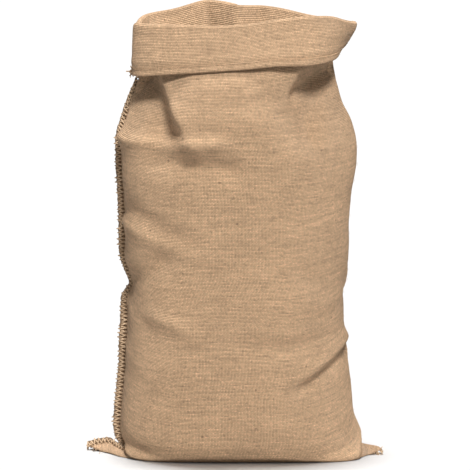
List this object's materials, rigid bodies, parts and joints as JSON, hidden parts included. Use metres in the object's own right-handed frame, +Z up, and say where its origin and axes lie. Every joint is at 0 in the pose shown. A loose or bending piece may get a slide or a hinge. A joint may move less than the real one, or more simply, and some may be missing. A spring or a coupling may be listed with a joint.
{
  "type": "sack",
  "caption": "Standing burlap sack of coarse woven jute, overcast down one side and along the bottom, its open mouth turned down into a stitched cuff.",
  "frame": {"origin": "on the surface that the sack stands on, under the middle of its box", "axes": "+Z up to the mouth, +X towards the folded side that has no seam, +Y to the back, away from the plain front"},
  "size_m": [0.5979, 0.3303, 0.8981],
  "materials": {
    "hessian": "coarse plain weave, matt",
    "jute_thread": "hairy twisted thread, matt"
  },
  "bodies": {
    "root": {"sack_cloth": "hessian", "side_seam": "jute_thread", "bottom_seam": "jute_thread"}
  },
  "joints": []
}
